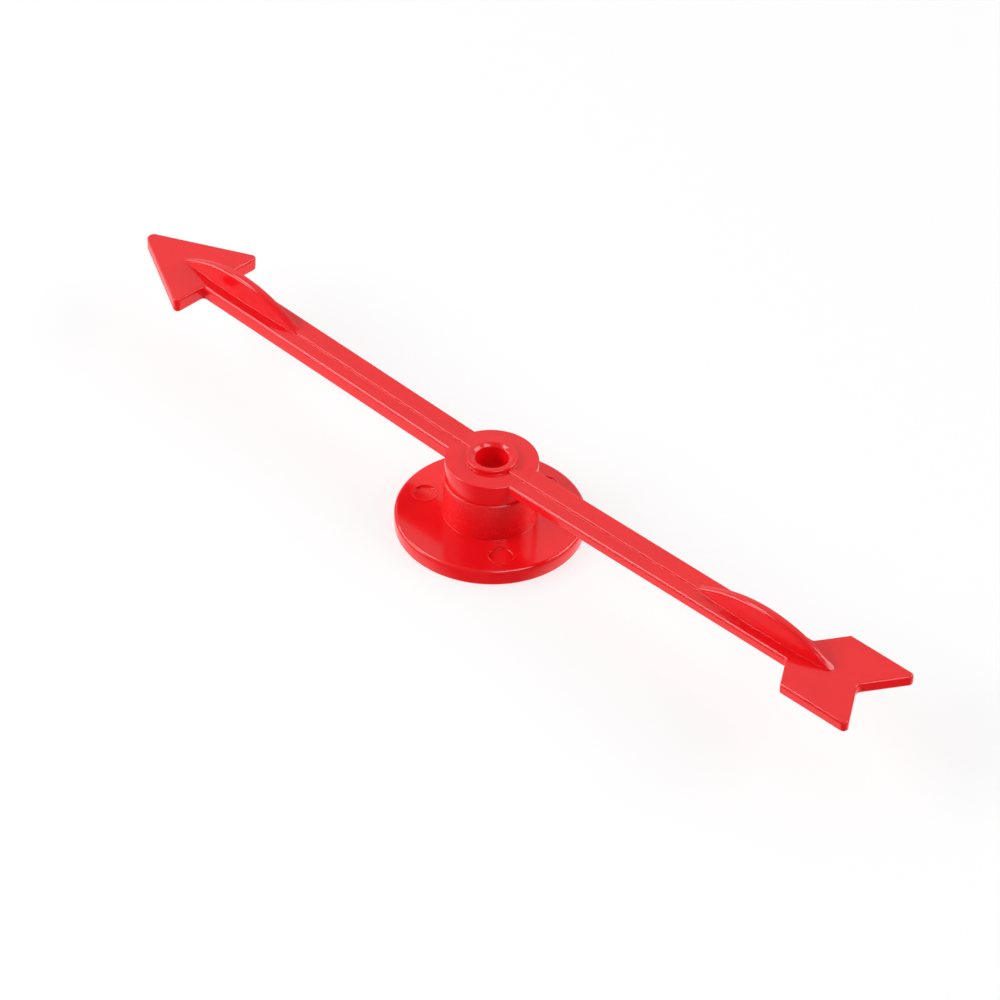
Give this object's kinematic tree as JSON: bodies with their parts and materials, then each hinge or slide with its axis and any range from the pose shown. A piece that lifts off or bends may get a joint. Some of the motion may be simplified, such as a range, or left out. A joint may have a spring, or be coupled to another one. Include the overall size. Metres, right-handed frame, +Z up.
{
  "type": "game spinner",
  "caption": "Pointer arrow with a triangular head and notched tail that spins on a stub in the collar of a round flanged base set in a game board.",
  "frame": {"origin": "on the spin axis, on the flat underside of the base flange", "axes": "+X along the arrow towards its point, +Z up along the spin axis away from the board, +Y to the left of the arrow"},
  "size_m": [0.1016, 0.0192, 0.0112],
  "materials": {
    "arrow_plastic": "glossy moulded red",
    "base_plastic": "glossy moulded red with a satin collar"
  },
  "bodies": {
    "base": {"base": "base_plastic"},
    "arrow": {"arrow": "arrow_plastic"}
  },
  "joints": [
    {"name": "arrow_spin", "type": "hinge", "parent": "base", "child": "arrow", "pos_m": [0, 0, 0.006], "axis": [0, 0, 1], "continuous": true}
  ]
}
